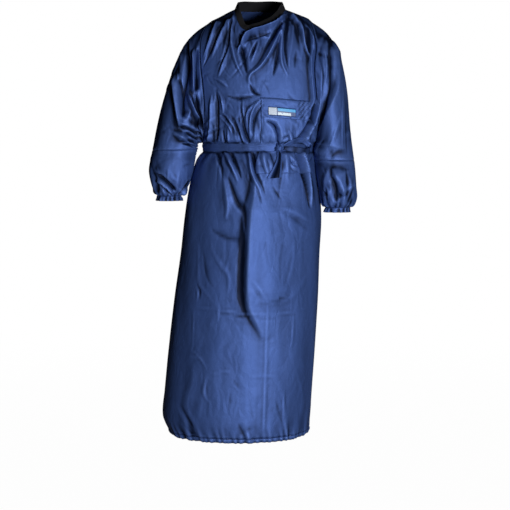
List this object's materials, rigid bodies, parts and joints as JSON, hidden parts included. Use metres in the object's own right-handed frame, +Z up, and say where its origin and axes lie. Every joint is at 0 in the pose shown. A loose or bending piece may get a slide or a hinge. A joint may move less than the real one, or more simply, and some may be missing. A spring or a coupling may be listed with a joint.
{
  "type": "sleeved apron",
  "caption": "Long-sleeved protective gown in worn form: V neck band, deep armholes, gathered cuffs and hem, flap pocket and tied waist belt.",
  "frame": {"origin": "The middle of the neck base, level with the shoulders that carry the gown.", "axes": "+Z up, -Y the front of the gown, +X the wearer's left. The longest extent is along Z."},
  "size_m": [0.637, 0.3528, 1.3367],
  "materials": {
    "navy_cloth": "coated nylon, fine plain weave, satin",
    "black_rib": "matt black stretch rib",
    "label": "printed bars in cyan and white"
  },
  "bodies": {
    "root": {"front_panel": "navy_cloth", "back_panel_right": "navy_cloth", "back_panel_left": "navy_cloth", "sleeve_upper_right": "navy_cloth", "sleeve_upper_left": "navy_cloth", "sleeve_lower_right": "navy_cloth", "sleeve_lower_left": "navy_cloth", "cuff_right": "navy_cloth", "cuff_left": "navy_cloth", "hem_casing_front": "navy_cloth", "hem_casing_back_right": "navy_cloth", "hem_casing_back_left": "navy_cloth", "pocket": "navy_cloth", "pocket_flap": "navy_cloth", "belt": "navy_cloth", "belt_knot": "navy_cloth", "belt_loop": "navy_cloth", "belt_tail": "navy_cloth", "neck_band": "black_rib", "flap_label": "label"}
  },
  "joints": []
}
